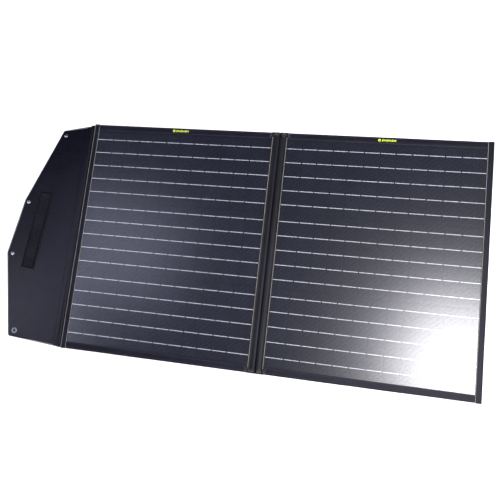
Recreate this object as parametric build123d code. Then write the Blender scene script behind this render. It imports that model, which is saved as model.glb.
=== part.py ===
"""Folding solar suitcase: two fabric-bound panels on a centre fold, with a closing flap.

Lengths are in millimetres. While the parts are made, x = 0 is the centre fold, +X runs
along the right panel, +Y is the top edge and z = 0 is the floor that the kit lies on.
write_part() then moves every piece along X, so that the origin is under the middle of the
opened kit.
"""

import os

from build123d import *

os.makedirs("parts", exist_ok=True)

# Cells: square 5-busbar wafers cut into fifths, three strings of twelve in each panel
WAFER = 156.75
CELL_LENGTH = WAFER / 5
CELL_GAP = 1.52
CELL_PITCH = CELL_LENGTH + CELL_GAP
CELLS_IN_STRING = 12
STRINGS = 3
STRING_GAP = 5.4
BUSBARS = 5
BUSBAR_PITCH = WAFER / BUSBARS
RIBBON_WIDTH = 1.3
RIBBON_INSET = 0.5
RIBBON_END_GAP = 0.3
CELL_ROOM_INSET = 1.0
CELL_ROOM_BORDER = 5.0

# Panel outline
PANEL_HEIGHT = 522.5
RIGHT_WIDTH = 443.0
LEFT_WIDTH = 443.0
FOLD_HALF_GAP = 0.15
WELT_WIDTH = 15.0
BORDER_WIDTH = 15.7
RIGHT_TAPE_WIDTH = 13.7
LEFT_TAPE_WIDTH = 13.0
BINDING = 0.8

# Levels above the floor, from the padded rim up to the fold line
REAR_DEPTH = 5.0
COVER_TOP = REAR_DEPTH + 0.8
BOARD_TOP = COVER_TOP + 3.0
BACKSHEET_TOP = BOARD_TOP + 0.5
CELL_TOP = BACKSHEET_TOP + 0.3
RIBBON_TOP = CELL_TOP + 0.2
FILM_TOP = BACKSHEET_TOP + 1.0
FRONT_TOP = FILM_TOP + BINDING
LABEL_TOP = FRONT_TOP + 0.2
FOLD_Z = LABEL_TOP + 0.2

# Closing flap and the spine strip that wraps the folded edge
FLAP_TOP = 1.4
OUTER_SKIN = 0.5
STIFFENER = 0.5
SPINE_EDGE = -LEFT_WIDTH - 0.3
FLAP_CLEARANCE = 1.0
SPINE_WIDTH = 2 * FOLD_Z + FLAP_CLEARANCE - FLAP_TOP
FLAP_EDGE = SPINE_EDGE - SPINE_WIDTH
FLAP_TIP = -620.0
FLAP_CORNERS = [(-525.0, 244.8), (-597.0, 69.0), (FLAP_TIP, -60.0), (-581.0, -250.4)]
FLAP_ROOT = (257.0, -259.6)
SPINE_HALF = 261.0
SPINE_CREASE = SPINE_EDGE - 11.7
SPINE_NOTCH = (258.4, -260.3)
FLAP_CORNER_RADIUS = 5.0
FLAP_JOINT_GAP = 0.3

# Metal fittings at the flap's corners: an eyelet at the last one, a low stud at the others
EYELET = (-567.6, -237.2)
EYELET_HOLE = 3.0
EYELET_BARREL = 3.8
EYELET_FLANGE = 6.8
EYELET_RIM = 0.5
STUDS = [(-518.5, 232.1), (-587.0, 64.8), (-605.6, -61.2)]
STUD_SHANK = 1.8
STUD_HEAD = 4.5
STUD_CROWN = 2.9
STUD_EDGE = 0.4
STUD_HEIGHT = 1.0

# Hook strip on the flap and the loop strip that it presses on when the case is shut
HOOK_SIZE = (35.0, 187.0)
HOOK_CENTRE = (-552.3, 1.0)
HOOK_TILT = 5.7
HOOK_THICKNESS = 1.2
LOOP_SIZE = (64.0, 210.0)
LOOP_CENTRE_X = 356.0
LOOP_FACE = 0.4
LOOP_THICKNESS = 1.4
LOOP_PAD_MARGIN = 6.0

# Kickstand: a stiff board hinged on each panel's back
KICK_CENTRE = 165.0
KICK_WIDTH = 180.0
KICK_HINGE_Y = 105.0
KICK_LENGTH = 215.0
KICK_THICKNESS = 4.0
KICK_Z = REAR_DEPTH - 0.3
KICK_TAPE = 30.0
KICK_STRAP_WIDTH = 25.0
KICK_STRAP_LENGTH = 75.0
KICK_GAP = 1.4

# Junction box, let into the back of each panel
BOX_SIZE = (90.0, 50.0)
BOX_CENTRE = (222.0, 190.0)
BOX_WALL = 2.0
BOX_TOP = BOARD_TOP - 0.1
LID_FACE = 0.4
LID_TOP = 1.6
BOX_SCREW_INSET = 5.0
SCREW_HEAD = 2.4
SCREW_SHANK = 1.1
TERMINAL_SPACING = 36.0

# Lead that joins the two junction boxes inside the boards
LEAD_WIDTH = 8.0
LEAD_THICKNESS = 1.4

# Label on the top border
LABEL_SIZE = (42.0, 9.0)
LABEL_Y = 253.4

HALF = PANEL_HEIGHT / 2
STACK_HALF = HALF - BINDING
CELL_HALF = (STRINGS * WAFER + (STRINGS - 1) * STRING_GAP) / 2
FRAME_SHIFT = -(RIGHT_WIDTH + FLAP_TIP) / 2


def write_part(name, shape):
    """Writes one piece, moved into the frame of the opened kit."""
    export_step(Pos(FRAME_SHIFT, 0, 0) * shape, f"parts/{name}.step")


def block(x_span, y_span, z_span):
    """A box between two limits on each axis, given in either order."""
    spans = [sorted(span) for span in (x_span, y_span, z_span)]
    sizes = [high - low for low, high in spans]
    middle = [(high + low) / 2 for low, high in spans]
    return Pos(*middle) * Box(*sizes)


def around(centre, size, z_span):
    """A box of this plan size about a centre point."""
    x_span = (centre[0] - size[0] / 2, centre[0] + size[0] / 2)
    y_span = (centre[1] - size[1] / 2, centre[1] + size[1] / 2)
    return block(x_span, y_span, z_span)


def disc(centre, radius, z_span):
    """An upright cylinder between two heights."""
    low, high = z_span
    return Pos(centre[0], centre[1], (low + high) / 2) * Cylinder(radius, high - low)


def group(solids):
    """Separate solids kept side by side in one node."""
    return Compound([piece for solid in solids for piece in solid.solids()])


class Panel:
    """One folding half: its side of the fold, its width and the place of its strings."""

    def __init__(self, name, side, width, tape, first_cell, string_shifts):
        self.name = name
        self.side = side
        self.width = width
        self.tape = tape
        self.first_cell = first_cell
        self.string_shifts = string_shifts

    def x(self, distance):
        """The place on X this far out from the fold."""
        return self.side * distance

    def across(self, near, far):
        """The span on X between two distances from the fold."""
        return (self.x(near), self.x(far))

    def save(self, piece, shape):
        write_part(f"{self.name}_{piece}", shape)


LEFT = Panel("left", -1, LEFT_WIDTH, LEFT_TAPE_WIDTH, -423.3, (0.0, 5.5, -1.8))
RIGHT = Panel("right", 1, RIGHT_WIDTH, RIGHT_TAPE_WIDTH, 20.8, (0.0, 8.2, 4.3))


def box_centre(panel):
    return (panel.x(BOX_CENTRE[0]), BOX_CENTRE[1])


def lead_groove(clearance):
    """The channel that the link lead takes through boards and welts."""
    reach = BOX_CENTRE[0] - BOX_SIZE[0] / 2
    half = LEAD_WIDTH / 2 + clearance
    y_span = (BOX_CENTRE[1] - half, BOX_CENTRE[1] + half)
    return block((-reach, reach), y_span, (COVER_TOP, COVER_TOP + LEAD_THICKNESS + clearance))


def cell_span(panel):
    """The span on X, low end first, of the room that holds the cells and ribbons."""
    return sorted(panel.across(WELT_WIDTH + CELL_ROOM_INSET, panel.width - CELL_ROOM_BORDER))


def make_stack(panel):
    """Rear cover, stiff board, backsheet and front film, from the back up."""
    x_span = panel.across(WELT_WIDTH, panel.width - BINDING)
    y_span = (-STACK_HALF, STACK_HALF)
    box_hole = around(box_centre(panel), BOX_SIZE, (0, BOARD_TOP))
    cover = block(x_span, y_span, (REAR_DEPTH, COVER_TOP))
    panel.save("rear_cover", cover - box_hole)
    board = block(x_span, y_span, (COVER_TOP, BOARD_TOP))
    panel.save("backing_board", board - box_hole - lead_groove(0.2))
    panel.save("backsheet", block(x_span, y_span, (BOARD_TOP, BACKSHEET_TOP)))
    film = block(x_span, y_span, (BACKSHEET_TOP, FILM_TOP))
    cell_room = block(
        cell_span(panel),
        (-CELL_HALF - 2, CELL_HALF + 2),
        (BACKSHEET_TOP, RIBBON_TOP),
    )
    panel.save("front_film", film - cell_room)


def string_start(panel, string):
    """Left end of a string, and the height of its middle line; string 0 is the top one."""
    y = CELL_HALF - WAFER / 2 - string * (WAFER + STRING_GAP)
    return panel.first_cell + panel.string_shifts[string], y


def make_cells(panel):
    """Cut cells, and the ribbon on each busbar, run on past both ends of a string."""
    cells = []
    ribbons = []
    room = cell_span(panel)
    for string in range(STRINGS):
        start, middle = string_start(panel, string)
        for column in range(CELLS_IN_STRING):
            x = start + column * CELL_PITCH
            y_span = (middle - WAFER / 2, middle + WAFER / 2)
            cells.append(block((x, x + CELL_LENGTH), y_span, (BACKSHEET_TOP, CELL_TOP)))
        for busbar in range(BUSBARS):
            y = middle + (busbar - (BUSBARS - 1) / 2) * BUSBAR_PITCH
            y_span = (y - RIBBON_WIDTH / 2, y + RIBBON_WIDTH / 2)
            for column in range(CELLS_IN_STRING):
                x = start + column * CELL_PITCH
                first = x + RIBBON_INSET
                last = x + CELL_LENGTH - RIBBON_INSET
                if column == 0:
                    first = room[0] + RIBBON_END_GAP
                elif column == CELLS_IN_STRING - 1:
                    last = room[1] - RIBBON_END_GAP
                ribbons.append(block((first, last), y_span, (CELL_TOP, RIBBON_TOP)))
    panel.save("cells", group(cells))
    panel.save("ribbons", group(ribbons))


def bound_edge(outer, front, rear):
    """A binding round an edge: what is left of a block once the panel's edge is taken out."""
    return outer - block(*front) - block(*rear)


def make_borders(panel):
    """Fabric bindings round the four sides, the padded rim inside them, and the label."""
    inner_edge = panel.width - panel.tape
    full = (-HALF, HALF)
    side_stack = panel.across(inner_edge, panel.width - BINDING)
    side = block(panel.across(inner_edge, panel.width), full, (0, FRONT_TOP))
    side -= block(side_stack, (-STACK_HALF, STACK_HALF), (BINDING, FILM_TOP))
    panel.save("side_binding", side)
    for edge, end in (("top", 1), ("bottom", -1)):
        y_inner = end * (HALF - BORDER_WIDTH)
        x_span = panel.across(WELT_WIDTH, inner_edge)
        border = block(x_span, (y_inner, end * HALF), (0, FRONT_TOP))
        border -= block(x_span, (y_inner, end * STACK_HALF), (BINDING, FILM_TOP))
        panel.save(f"{edge}_binding", border)
    rim_inner = HALF - BORDER_WIDTH
    long_span = panel.across(WELT_WIDTH, panel.width - BINDING)
    strips = [
        block(long_span, (rim_inner, STACK_HALF), (BINDING, REAR_DEPTH)),
        block(long_span, (-rim_inner, -STACK_HALF), (BINDING, REAR_DEPTH)),
        block(side_stack, (-rim_inner, rim_inner), (BINDING, REAR_DEPTH)),
    ]
    panel.save("rim_padding", group(strips))
    middle_x = panel.x((WELT_WIDTH + panel.width) / 2)
    panel.save("label", around((middle_x, LABEL_Y), LABEL_SIZE, (FRONT_TOP, LABEL_TOP)))


def make_welt(panel):
    """Fabric roll along the fold, rounded where the two halves meet."""
    x_span = panel.across(FOLD_HALF_GAP, WELT_WIDTH)
    welt = block(x_span, (-HALF, HALF), (1.1, LABEL_TOP))
    top_edges = welt.edges().filter_by(Axis.Y).sort_by(Axis.Z)[-2:]
    welt = fillet(top_edges, 3.0)
    panel.save("fold_welt", welt - lead_groove(0.2))


def box_corners(panel):
    """The four screw places of a junction box."""
    middle = box_centre(panel)
    dx = BOX_SIZE[0] / 2 - BOX_SCREW_INSET
    dy = BOX_SIZE[1] / 2 - BOX_SCREW_INSET
    return [(middle[0] + sx * dx, middle[1] + sy * dy) for sx in (-1, 1) for sy in (-1, 1)]


def make_junction_box(panel):
    """Shallow tub with its lid and screws, and the terminals and bypass diode inside."""
    middle = box_centre(panel)
    inside = [length - 2 * BOX_WALL for length in BOX_SIZE]
    roof = BOX_TOP - 1.2
    tub = around(middle, BOX_SIZE, (LID_TOP, BOX_TOP)) - around(middle, inside, (LID_TOP, roof))
    lid = around(middle, BOX_SIZE, (LID_FACE, LID_TOP))
    screws = []
    for corner in box_corners(panel):
        tub += disc(corner, BOX_SCREW_INSET - 1, (LID_TOP, roof))
        tub -= disc(corner, SCREW_SHANK + 0.05, (LID_TOP, 6.6))
        lid -= disc(corner, SCREW_HEAD + 0.1, (LID_FACE, 1.2))
        lid -= disc(corner, SCREW_SHANK + 0.2, (LID_FACE, LID_TOP))
        head = disc(corner, SCREW_HEAD, (LID_FACE + 0.1, 1.2))
        screws.append(head + disc(corner, SCREW_SHANK, (1.2, 6.5)))
    for side in (-1, 1):
        wall_x = middle[0] + side * (BOX_SIZE[0] / 2 - BOX_WALL / 2)
        tub -= around((wall_x, middle[1]), (BOX_WALL + 0.2, LEAD_WIDTH), (COVER_TOP, 7.2))
    panel.save("junction_box", tub)
    panel.save("junction_lid", lid)
    panel.save("lid_screws", group(screws))
    tabs = []
    for side in (-1, 1):
        tab = (middle[0] + side * TERMINAL_SPACING / 2, middle[1])
        tabs.append(around(tab, (8.0, 16.0), (6.4, roof)))
    panel.save("terminals", group(tabs))
    body = Pos(middle[0], middle[1], 4.2) * Rot(0, 90, 0) * Cylinder(2.1, 10.0)
    wire = Pos(middle[0], middle[1], 4.2) * Rot(0, 90, 0) * Cylinder(0.5, TERMINAL_SPACING)
    legs = [
        disc((middle[0] + side * TERMINAL_SPACING / 2, middle[1]), 0.5, (4.2, 6.4))
        for side in (-1, 1)
    ]
    panel.save("bypass_diode", body + wire + legs[0] + legs[1])


def make_kickstand(panel):
    """Prop board, the tape that it hangs on and the strap that stops it."""
    middle = panel.x(KICK_CENTRE)
    half = KICK_WIDTH / 2
    x_span = (middle - half, middle + half)
    tip = KICK_HINGE_Y - KICK_LENGTH
    board = block(x_span, (tip, KICK_HINGE_Y), (KICK_Z - KICK_THICKNESS, KICK_Z))
    board = fillet(board.edges().filter_by(Axis.Z), 8.0)
    panel.save("kickstand_board", board)
    tape_start = KICK_HINGE_Y + KICK_GAP
    panel.save(
        "kickstand_tape",
        block(x_span, (tape_start, tape_start + KICK_TAPE), (REAR_DEPTH - 1.0, REAR_DEPTH)),
    )
    strap_half = KICK_STRAP_WIDTH / 2
    panel.save(
        "kickstand_strap",
        block(
            (middle - strap_half, middle + strap_half),
            (tip - KICK_STRAP_LENGTH, tip - FLAP_JOINT_GAP),
            (REAR_DEPTH - 1.5, REAR_DEPTH),
        ),
    )


def make_fold():
    """Rear fabric that bridges the fold, and the lead that crosses under it."""
    write_part("fold_fabric", block((-WELT_WIDTH, WELT_WIDTH), (-HALF, HALF), (0.3, 1.1)))
    write_part("link_lead", lead_groove(0.0))


def flap_outline():
    """Plan of the flap from the spine out, with softened corners."""
    root = FLAP_EDGE - FLAP_JOINT_GAP
    points = [(root, FLAP_ROOT[0]), *FLAP_CORNERS, (root, FLAP_ROOT[1])]
    face = make_face(Polyline(*points, close=True))
    outer = face.vertices().filter_by(lambda v: v.X < FLAP_EDGE - 1)
    return fillet(outer, FLAP_CORNER_RADIUS)


def spine_layer(low, high):
    """One sheet of the spine strip: as long as the panel at its edge, notched at its crease."""
    outer = FLAP_EDGE + FLAP_JOINT_GAP
    points = [
        (SPINE_EDGE, SPINE_HALF),
        (SPINE_CREASE, SPINE_HALF),
        (SPINE_CREASE - 1, SPINE_NOTCH[0]),
        (outer, FLAP_ROOT[0]),
        (outer, FLAP_ROOT[1]),
        (SPINE_CREASE - 1, SPINE_NOTCH[1]),
        (SPINE_CREASE, -SPINE_HALF),
        (SPINE_EDGE, -SPINE_HALF),
    ]
    face = make_face(Polyline(*points, close=True))
    return Pos(0, 0, low) * extrude(face, amount=high - low)


def flap_layer(low, high, eyelet_hole, stud_hole):
    """One sheet of the flap between two heights, punched for the eyelet and studs."""
    layer = Pos(0, 0, low) * extrude(flap_outline(), amount=high - low)
    layer -= disc(EYELET, eyelet_hole + 0.05, (low - 1, high + 1))
    for place in STUDS:
        layer -= disc(place, stud_hole + 0.05, (low - 1, high + 1))
    return layer


def make_flap():
    """Spine strip and flap, each with its skins, and what is fixed to the flap."""
    stiff_top = OUTER_SKIN + STIFFENER
    inner_holes = (EYELET_BARREL, STUD_SHANK)
    write_part("flap_outer_skin", flap_layer(0, OUTER_SKIN, EYELET_FLANGE, STUD_HEAD))
    write_part("flap_stiffener", flap_layer(OUTER_SKIN, stiff_top, *inner_holes))
    write_part("flap_inner_skin", flap_layer(stiff_top, FLAP_TOP, *inner_holes))
    write_part("spine_outer_skin", spine_layer(0, OUTER_SKIN))
    write_part("spine_inner_skin", spine_layer(OUTER_SKIN, FLAP_TOP))

    barrel = disc(EYELET, EYELET_BARREL, (OUTER_SKIN, FLAP_TOP))
    flange = disc(EYELET, EYELET_FLANGE, (FLAP_TOP, FLAP_TOP + EYELET_RIM))
    bore = disc(EYELET, EYELET_HOLE, (0, FLAP_TOP + 1))
    write_part("eyelet", barrel + flange - bore)
    write_part("eyelet_washer", disc(EYELET, EYELET_FLANGE, (0, OUTER_SKIN)) - bore)
    studs = []
    for place in STUDS:
        crown_middle = FLAP_TOP + (STUD_EDGE + STUD_HEIGHT) / 2
        crown = Cone(STUD_HEAD, STUD_CROWN, STUD_HEIGHT - STUD_EDGE)
        rim = disc(place, STUD_HEAD, (FLAP_TOP, FLAP_TOP + STUD_EDGE))
        shank = disc(place, STUD_SHANK, (OUTER_SKIN, FLAP_TOP))
        studs.append(Pos(*place, crown_middle) * crown + rim + shank)
    write_part("studs", group(studs))
    write_part("stud_backs", group([disc(place, STUD_HEAD, (0, OUTER_SKIN)) for place in STUDS]))

    hook = Rot(0, 0, -HOOK_TILT) * Box(*HOOK_SIZE, HOOK_THICKNESS)
    write_part("hook_strip", Pos(*HOOK_CENTRE, FLAP_TOP + HOOK_THICKNESS / 2) * hook)


def make_loop():
    """Pad and loop strip on the back of the right panel, where the shut flap lands."""
    centre = (LOOP_CENTRE_X, 0)
    pad = (LOOP_SIZE[0] + 2 * LOOP_PAD_MARGIN, LOOP_SIZE[1] + 2 * LOOP_PAD_MARGIN)
    loop_top = LOOP_FACE + LOOP_THICKNESS
    write_part("loop_pad", around(centre, pad, (loop_top, REAR_DEPTH)))
    write_part("loop_strip", around(centre, LOOP_SIZE, (LOOP_FACE, loop_top)))


def make_carry_pieces():
    """Webbing handle, zipped lead pocket and lead gland on the back of the left panel."""
    handle_x = (-428.0, -403.0)
    ends = (REAR_DEPTH - 1.6, REAR_DEPTH)
    grip = (0.8, 2.4)
    profile = [(-95, ends[1]), (-95, ends[0]), (-62, ends[0]), (-48, grip[0]), (48, grip[0])]
    profile += [(62, ends[0]), (95, ends[0]), (95, ends[1]), (61, ends[1]), (47, grip[1])]
    profile += [(-47, grip[1]), (-61, ends[1])]
    side = Plane.YZ.offset(handle_x[0]) * make_face(Polyline(*profile, close=True))
    write_part("carry_handle", extrude(side, amount=handle_x[1] - handle_x[0]))

    pocket_x = (-392.0, -272.0)
    write_part("lead_pocket", block(pocket_x, (-205, -20), (1.0, REAR_DEPTH)))
    write_part("pocket_zip", block(pocket_x, (-20, -8), (2.6, REAR_DEPTH)))
    write_part("zip_slider", around((-290, -14), (11, 6), (1.0, 2.6)))

    middle = box_centre(LEFT)
    wall = middle[1] - BOX_SIZE[1] / 2
    gland = Pos(middle[0], wall - 5, 3.0) * Rot(90, 0, 0) * Cylinder(1.9, 10)
    boot = around((middle[0], wall - 3), (12, 6), (0.8, 4.8))
    write_part("lead_gland", boot + gland)


for panel in (LEFT, RIGHT):
    make_stack(panel)
    make_cells(panel)
    make_borders(panel)
    make_welt(panel)
    make_junction_box(panel)
    make_kickstand(panel)
make_fold()
make_flap()
make_loop()
make_carry_pieces()
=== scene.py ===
"""Looks of the folding solar suitcase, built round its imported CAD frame.

Lengths are in metres in the frame of the opened kit: +X runs along it towards the right
panel, +Y towards the labelled edge, and z = 0 is the floor.
"""

import math

import bmesh
import bpy
import numpy as np
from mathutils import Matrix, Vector, geometry


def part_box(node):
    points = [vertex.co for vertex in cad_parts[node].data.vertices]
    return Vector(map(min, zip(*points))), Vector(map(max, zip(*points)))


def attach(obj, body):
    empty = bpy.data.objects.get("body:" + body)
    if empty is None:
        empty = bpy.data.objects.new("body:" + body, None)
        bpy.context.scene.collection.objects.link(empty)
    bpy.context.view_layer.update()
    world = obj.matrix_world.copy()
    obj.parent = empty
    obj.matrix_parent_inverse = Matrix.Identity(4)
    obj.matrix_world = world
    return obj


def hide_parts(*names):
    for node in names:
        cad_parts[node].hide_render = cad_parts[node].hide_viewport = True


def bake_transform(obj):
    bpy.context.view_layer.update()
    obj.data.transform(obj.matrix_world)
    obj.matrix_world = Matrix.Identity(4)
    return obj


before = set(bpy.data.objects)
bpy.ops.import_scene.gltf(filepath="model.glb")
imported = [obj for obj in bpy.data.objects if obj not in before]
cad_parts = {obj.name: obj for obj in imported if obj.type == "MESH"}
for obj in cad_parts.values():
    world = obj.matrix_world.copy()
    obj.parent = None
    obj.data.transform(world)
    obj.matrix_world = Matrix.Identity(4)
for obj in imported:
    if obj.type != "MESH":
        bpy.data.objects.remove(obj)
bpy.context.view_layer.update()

MM = 0.001
SIDES = (("left", -1), ("right", 1))
EYELET_BORE = 3.0 * MM
WAVE_PERIOD = 0.314159  # a wave texture of scale 1 repeats after this length
COAT_ROUGHNESS = 0.26  # of the film's gloss over cells, gaps and ribbons

# Stitches as (pitch, length, thread radius), in millimetres.
EDGE_STITCH = (3.4, 2.8, 0.27)
REAR_STITCH = (4.0, 3.2, 0.3)
TAPE_STITCH = (4.2, 3.9, 0.46)
TACK_STITCH = (4.5, 4.2, 0.3)
HOOK_STITCH = (3.2, 2.6, 0.22)
LOOP_STITCH = (3.6, 3.0, 0.26)
SLEEVE_STITCH = (4.2, 3.4, 0.34)
HINGE_STITCH = (4.2, 3.4, 0.3)
STAY_STITCH = (3.0, 2.6, 0.28)
HANDLE_STITCH = (3.2, 2.7, 0.3)
ZIP_TOOTH = (3.4, 3.3, 0.45)


# ---- materials


class Graph:
    """The node tree of one material, with a Principled shader on its output."""

    def __init__(self, name):
        self.material = bpy.data.materials.new(name)
        self.material.use_nodes = True
        self.tree = self.material.node_tree
        self.tree.nodes.clear()
        output = self.tree.nodes.new("ShaderNodeOutputMaterial")
        self.shader = self.tree.nodes.new("ShaderNodeBsdfPrincipled")
        self.tree.links.new(self.shader.outputs[0], output.inputs[0])
        self.place = self.node("TexCoord").outputs["Object"]

    def node(self, kind, inputs=None, **attributes):
        """A node with its attributes set, and each input given a value or linked."""
        made = self.tree.nodes.new("ShaderNode" + kind)
        for key, value in attributes.items():
            setattr(made, key, value)
        for key, value in (inputs or {}).items():
            self.feed(made.inputs[key], value)
        return made

    def feed(self, socket, value):
        if isinstance(value, bpy.types.NodeSocket):
            self.tree.links.new(value, socket)
        else:
            socket.default_value = value

    def set(self, **values):
        """Sets shader inputs; underscores stand for spaces."""
        for key, value in values.items():
            self.feed(self.shader.inputs[key.replace("_", " ")], value)

    def noise(self, scale, detail=3.0):
        inputs = {"Vector": self.place, "Scale": scale, "Detail": detail, "Roughness": 0.55}
        return self.node("TexNoise", inputs).outputs["Fac"]

    def wave(self, period, direction="X", place=None, distortion=0.0):
        inputs = {"Vector": place or self.place, "Scale": WAVE_PERIOD / period}
        inputs["Distortion"] = distortion
        made = self.node("TexWave", inputs, wave_type="BANDS", bands_direction=direction)
        return made.outputs["Fac"]

    def turned(self, degrees):
        inputs = {"Vector": self.place, "Rotation": (0, 0, math.radians(degrees))}
        return self.node("Mapping", inputs).outputs[0]

    def math(self, operation, a, b=0.0, clamp=False):
        return self.node("Math", {0: a, 1: b}, operation=operation, use_clamp=clamp).outputs[0]

    def spread(self, value, low, high, out_low=0.0, out_high=1.0):
        inputs = {"Value": value, "From Min": low, "From Max": high}
        inputs.update({"To Min": out_low, "To Max": out_high})
        return self.node("MapRange", inputs).outputs[0]

    def mix(self, share, a, b):
        made = self.node("Mix", data_type="RGBA")
        self.feed(made.inputs["Factor"], share)
        for socket, value in ((6, a), (7, b)):
            if not isinstance(value, bpy.types.NodeSocket):
                value = (*value[:3], 1.0)
            self.feed(made.inputs[socket], value)
        return made.outputs[2]

    def bump(self, height, distance, strength):
        inputs = {"Height": height, "Distance": distance * MM, "Strength": strength}
        self.set(Normal=self.node("Bump", inputs).outputs[0])


def woven(name, dark, light, pitch=0.9, rough=(0.6, 0.8), specular=0.3, relief=0.1):
    """Plain weave: warp and weft waves, slubs, and a slow drift of shade."""
    g = Graph(name)
    warp = g.wave(pitch * MM, "X", distortion=0.4)
    weft = g.wave(pitch * MM, "Y", distortion=0.4)
    height = g.math("MAXIMUM", warp, weft)
    slub = g.noise(900.0, 2.0)
    height = g.math("ADD", height, g.math("MULTIPLY", slub, 0.5))
    drift = g.spread(g.noise(14.0, 4.0), 0.35, 0.65, 0.15, 0.85)
    shade = g.math("MULTIPLY", g.spread(height, 0.2, 1.4), drift, clamp=True)
    g.set(Base_Color=g.mix(shade, dark, light))
    g.set(Roughness=g.spread(slub, 0.3, 0.7, *rough), Specular_IOR_Level=specular)
    g.bump(height, relief, 0.7)
    return g.material


def moulded(name, dark, light, rough=(0.4, 0.6), grain=1400.0, relief=0.05, metallic=0.0):
    """Moulded plastic, rubber or cast metal with a fine grain and handling marks."""
    g = Graph(name)
    fine = g.noise(grain, 2.0)
    broad = g.noise(25.0, 4.0)
    g.set(Base_Color=g.mix(g.spread(broad, 0.3, 0.7), dark, light))
    g.set(Roughness=g.spread(g.math("ADD", fine, broad), 0.7, 1.3, *rough), Metallic=metallic)
    g.bump(fine, relief, 0.5)
    return g.material


def thread(name, dark, light):
    """Sewing thread: fine twist along the stitch, and uneven dye."""
    g = Graph(name)
    twist = g.wave(0.5 * MM, "DIAGONAL", distortion=1.0)
    drift = g.noise(60.0)
    share = g.math("MULTIPLY", g.spread(twist, 0, 1, 0.4, 1.0), g.spread(drift, 0.3, 0.7, 0.4, 1.0))
    g.set(Base_Color=g.mix(share, dark, light), Roughness=g.spread(twist, 0, 1, 0.55, 0.75))
    g.bump(twist, 0.05, 0.6)
    return g.material


def laminate_look(name, dark, light):
    """What shows through the film, under the film's own gloss and embossed texture."""
    g = Graph(name)
    ribs = g.wave(2.6 * MM, "X", place=g.turned(52), distortion=2.0)
    fingers = g.wave(1.9 * MM, "X")
    cloudy = g.noise(22.0, 4.0)
    grain = g.noise(420.0, 2.0)
    share = g.math("MULTIPLY", g.spread(ribs, 0, 1, 0.65, 1.0), g.spread(cloudy, 0.3, 0.7, 0.5, 1.0))
    share = g.math("MULTIPLY", share, g.spread(fingers, 0, 1, 0.85, 1.0))
    emboss = g.wave(8.0 * MM, "X", place=g.turned(50), distortion=2.5)
    mottle = g.spread(g.noise(260.0, 2.0), 0.35, 0.65, 0.0, 1.0)
    patchy = g.math("MULTIPLY", g.spread(emboss, 0, 1, 0.6, 1.0), g.spread(mottle, 0, 1, 0.5, 1.0))
    share = g.math("MULTIPLY", share, g.spread(patchy, 0.3, 1.0, 0.45, 1.25))
    g.set(Base_Color=g.mix(share, dark, light))
    g.set(Roughness=g.spread(grain, 0.3, 0.7, 0.6, 0.75), Specular_IOR_Level=0.05)
    g.set(Coat_Weight=g.spread(patchy, 0.3, 1.0, 0.87, 1.0), Coat_Roughness=COAT_ROUGHNESS, Coat_IOR=1.5)
    height = g.math("ADD", g.math("MULTIPLY", ribs, 0.5), grain)
    g.bump(height, 0.03, 0.5)
    return g.material


def ribbed(name, dark, light, pitch, specular=0.25, relief=0.25):
    """Webbing or tape: strong cross ribs over a fine weave."""
    g = Graph(name)
    ribs = g.wave(pitch * MM, "Y", distortion=0.3)
    cross = g.wave(pitch * 0.8 * MM, "X")
    fuzz = g.noise(1500.0, 2.0)
    height = g.math("ADD", ribs, g.math("MULTIPLY", g.math("ADD", cross, fuzz), 0.3))
    share = g.math("MULTIPLY", g.spread(height, 0.2, 1.5), g.spread(g.noise(30.0), 0.3, 0.7, 0.5, 1.0))
    g.set(Base_Color=g.mix(share, dark, light), Roughness=g.spread(fuzz, 0.3, 0.7, 0.7, 0.9))
    g.set(Specular_IOR_Level=specular)
    g.bump(height, relief, 0.7)
    return g.material


TIGHT_CLOTH = {"pitch": 1.0, "rough": (0.44, 0.56)}
METAL = {"grain": 1500.0, "relief": 0.01, "metallic": 1.0}

NYLON = woven("nylon_cloth", (0.002, 0.002, 0.006), (0.009, 0.0085, 0.020), specular=0.13, **TIGHT_CLOTH)
WELT_CLOTH = woven("welt_cloth", (0.002, 0.002, 0.004), (0.009, 0.009, 0.014), specular=0.15, **TIGHT_CLOTH)
NYLON_BACK = woven("nylon_back_cloth", (0.012, 0.012, 0.016), (0.04, 0.04, 0.048), pitch=1.6, relief=0.16)
LINING = woven("fold_lining", (0.010, 0.010, 0.012), (0.03, 0.03, 0.034), pitch=1.3)
POCKET_CLOTH = woven("pocket_cloth", (0.014, 0.014, 0.018), (0.05, 0.05, 0.058), pitch=1.2)

FOAM = moulded("foam_padding", (0.04, 0.04, 0.045), (0.07, 0.07, 0.075), (0.85, 0.95), 500.0, 0.2)
BOARD = moulded("board_sheet", (0.07, 0.07, 0.075), (0.12, 0.12, 0.125), (0.5, 0.65), 300.0, 0.05)
BACKSHEET = moulded("backsheet_film", (0.01, 0.01, 0.014), (0.02, 0.02, 0.026), (0.4, 0.55), 600.0, 0.02)
PLASTIC = moulded("box_plastic_grain", (0.012, 0.012, 0.013), (0.03, 0.03, 0.032), (0.38, 0.55), 1800.0, 0.06)
RUBBER = moulded("lead_jacket", (0.012, 0.012, 0.012), (0.028, 0.028, 0.028), (0.5, 0.7), 1200.0, 0.04)
LOOPS = moulded("loop_pile", (0.006, 0.006, 0.008), (0.03, 0.03, 0.034), (0.9, 1.0), 900.0, 0.5)

STEEL = moulded("screw_zinc", (0.42, 0.42, 0.43), (0.62, 0.62, 0.63), (0.25, 0.45), 2000.0, 0.01, 1.0)
NICKEL = moulded("eyelet_nickel", (0.14, 0.14, 0.145), (0.25, 0.25, 0.255), (0.28, 0.4), **METAL)
STUD_METAL = moulded("stud_nickel", (0.26, 0.26, 0.27), (0.42, 0.42, 0.43), (0.2, 0.3), **METAL)
COPPER = moulded("terminal_copper", (0.6, 0.33, 0.2), (0.8, 0.5, 0.34), (0.25, 0.45), **METAL)
GUNMETAL = moulded("zip_gunmetal", (0.2, 0.2, 0.22), (0.36, 0.36, 0.38), (0.25, 0.4), **METAL)

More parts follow.
